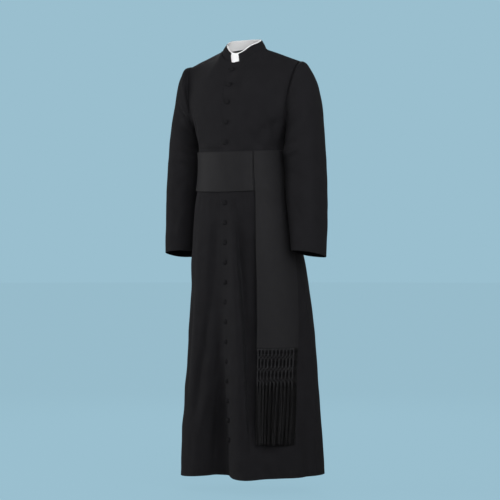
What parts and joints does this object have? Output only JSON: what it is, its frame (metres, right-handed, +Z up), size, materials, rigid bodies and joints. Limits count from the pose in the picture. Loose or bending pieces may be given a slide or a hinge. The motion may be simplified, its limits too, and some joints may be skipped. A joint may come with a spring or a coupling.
{
  "type": "roman cassock with a fringed fascia, worn and hollow",
  "caption": "Full-length buttoned clerical robe with long sleeves, a standing collar with a white insert, and a waist sash with two fringed falls.",
  "frame": {"origin": "midway between the two side-neck points, where the wearer's shoulders hold the cloth", "axes": "+Z up along the garment's length, -Y is the way the garment faces, +X is the wearer's left"},
  "size_m": [0.6012, 0.4072, 1.4954],
  "materials": {
    "black_wool": "matte fine twill wool",
    "black_faille": "ribbed silk faille with a soft sheen",
    "fringe_silk": "twisted silk cord",
    "white_insert": "smooth stiffened linen"
  },
  "bodies": {
    "root": {"back_left": "black_wool", "back_right": "black_wool", "button_01": "black_wool", "button_02": "black_wool", "button_03": "black_wool", "button_04": "black_wool", "button_05": "black_wool", "button_06": "black_wool", "button_07": "black_wool", "button_08": "black_wool", "button_09": "black_wool", "button_10": "black_wool", "button_11": "black_wool", "button_12": "black_wool", "button_13": "black_wool", "button_14": "black_wool", "button_15": "black_wool", "button_16": "black_wool", "button_17": "black_wool", "button_18": "black_wool", "collar": "black_wool", "collar_insert": "white_insert", "fascia_band": "black_faille", "fascia_fall_front": "black_faille", "fascia_fall_rear": "black_faille", "fringe_front": "fringe_silk", "fringe_rear": "fringe_silk", "front_left": "black_wool", "front_right": "black_wool", "sleeve_left": "black_wool", "sleeve_right": "black_wool"}
  },
  "joints": []
}
